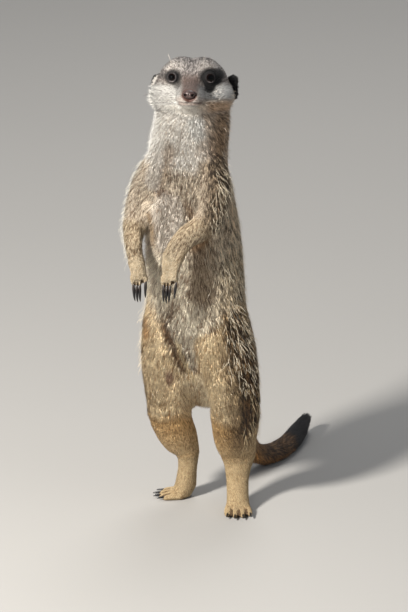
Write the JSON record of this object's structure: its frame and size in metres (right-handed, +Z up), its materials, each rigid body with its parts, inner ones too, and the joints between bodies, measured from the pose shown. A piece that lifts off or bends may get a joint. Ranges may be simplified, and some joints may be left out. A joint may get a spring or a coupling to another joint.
{
  "type": "standing meerkat figure",
  "caption": "Life-size meerkat standing upright on its hind feet with forelegs held down in front and tail laid on the floor behind.",
  "frame": {"origin": "on the floor, under the middle of the animal's box", "axes": "+Z up; -Y the way the animal's hips face; +X its left"},
  "size_m": [0.0972, 0.2138, 0.3103],
  "materials": {
    "face_coat": "short grey and cream fur",
    "chest_coat": "pale grey-buff fur",
    "body_coat": "grizzled brown fur, cream and black tipped",
    "limb_coat": "golden-tan to cream short fur",
    "tail_coat": "dark brown fur",
    "dark_fur": "near-black short fur",
    "eye": "wet dark brown",
    "nose": "moist dark leathery skin",
    "claw": "horn, dark"
  },
  "bodies": {
    "root": {"abdomen": "body_coat", "chest": "chest_coat", "claw_front_left_1": "claw", "claw_front_left_2": "claw", "claw_front_left_3": "claw", "claw_front_left_4": "claw", "claw_front_right_1": "claw", "claw_front_right_2": "claw", "claw_front_right_3": "claw", "claw_front_right_4": "claw", "claw_hind_left_1": "claw", "claw_hind_left_2": "claw", "claw_hind_left_3": "claw", "claw_hind_left_4": "claw", "claw_hind_right_1": "claw", "claw_hind_right_2": "claw", "claw_hind_right_3": "claw", "claw_hind_right_4": "claw", "ear_left": "dark_fur", "ear_right": "dark_fur", "eye_left": "eye", "eye_right": "eye", "foot_left": "limb_coat", "foot_right": "limb_coat", "forearm_left": "limb_coat", "forearm_right": "limb_coat", "hand_left": "limb_coat", "hand_right": "limb_coat", "head": "face_coat", "neck": "chest_coat", "nose": "nose", "shank_left": "limb_coat", "shank_right": "limb_coat", "tail_base": "tail_coat", "tail_end": "tail_coat", "tail_middle": "tail_coat", "tail_tip": "dark_fur", "thigh_left": "limb_coat", "thigh_right": "limb_coat", "upper_arm_left": "body_coat", "upper_arm_right": "body_coat"}
  },
  "joints": []
}
